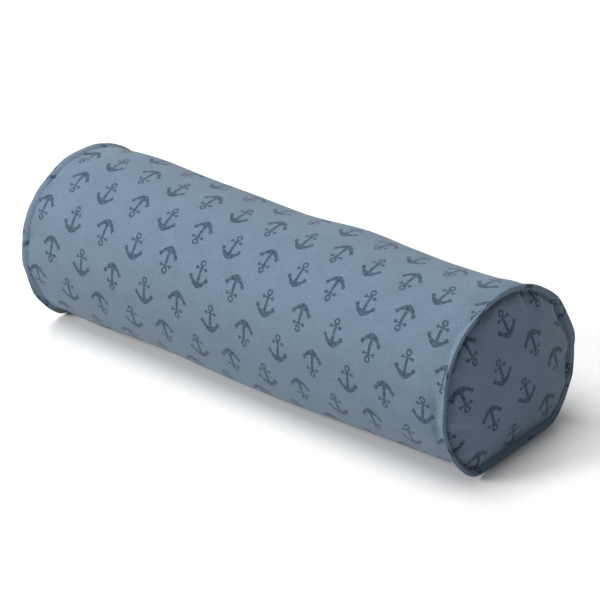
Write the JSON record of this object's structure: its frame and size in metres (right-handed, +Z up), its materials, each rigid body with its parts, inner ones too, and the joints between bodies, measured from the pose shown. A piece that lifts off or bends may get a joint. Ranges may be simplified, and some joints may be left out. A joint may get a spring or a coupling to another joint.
{
  "type": "bolster cushion",
  "caption": "Round lumbar bolster with a stitched fin round each end, a zipped cotton cover and a fibre-filled inner cushion.",
  "frame": {"origin": "on the supporting surface, under the middle of the bolster", "axes": "+X along the bolster, +Y to the back with the zip, +Z up"},
  "size_m": [0.4906, 0.162, 0.1455],
  "materials": {
    "printed_cotton": "plain-weave cotton, slate blue with a darker anchor print",
    "cover_thread": "spun polyester sewing thread, slate blue",
    "casing_cloth": "undyed plain cotton",
    "casing_thread": "white sewing thread",
    "polyester_fibre": "hollow polyester fibre wadding",
    "zip_tape": "woven polyester tape, dark slate",
    "zip_nylon": "nylon coil, satin",
    "zip_metal": "lacquered zinc, satin slate",
    "label_satin": "woven satin, blank"
  },
  "bodies": {
    "cushion": {"cover_body": "printed_cotton", "cover_disc_left": "printed_cotton", "cover_disc_right": "printed_cotton", "end_stitching_left": "cover_thread", "end_stitching_right": "cover_thread", "zip_stitching": "cover_thread", "body_seam_stitching": "cover_thread", "zip_bar_tacks": "cover_thread", "inner_casing_body": "casing_cloth", "inner_casing_disc_left": "casing_cloth", "inner_casing_disc_right": "casing_cloth", "inner_casing_stitching": "casing_thread", "fibre_fill": "polyester_fibre", "zip_tape_upper": "zip_tape", "zip_tape_lower": "zip_tape", "zip_coil_upper": "zip_nylon", "zip_coil_lower": "zip_nylon", "zip_top_stops": "zip_metal", "zip_bottom_stop": "zip_metal", "care_label": "label_satin"},
    "slider": {"zip_slider": "zip_metal"},
    "pull": {"zip_pull": "zip_metal"}
  },
  "joints": [
    {"name": "zip_slide", "type": "slide", "parent": "cushion", "child": "slider", "axis": [-1, 0, 0], "range_m": [0, 0.377]},
    {"name": "pull_swing", "type": "hinge", "parent": "slider", "child": "pull", "pos_m": [0.1896, 0.07573, 0.08479], "axis": [0, 0.2588, -0.9659], "range_deg": [0, 150]}
  ]
}
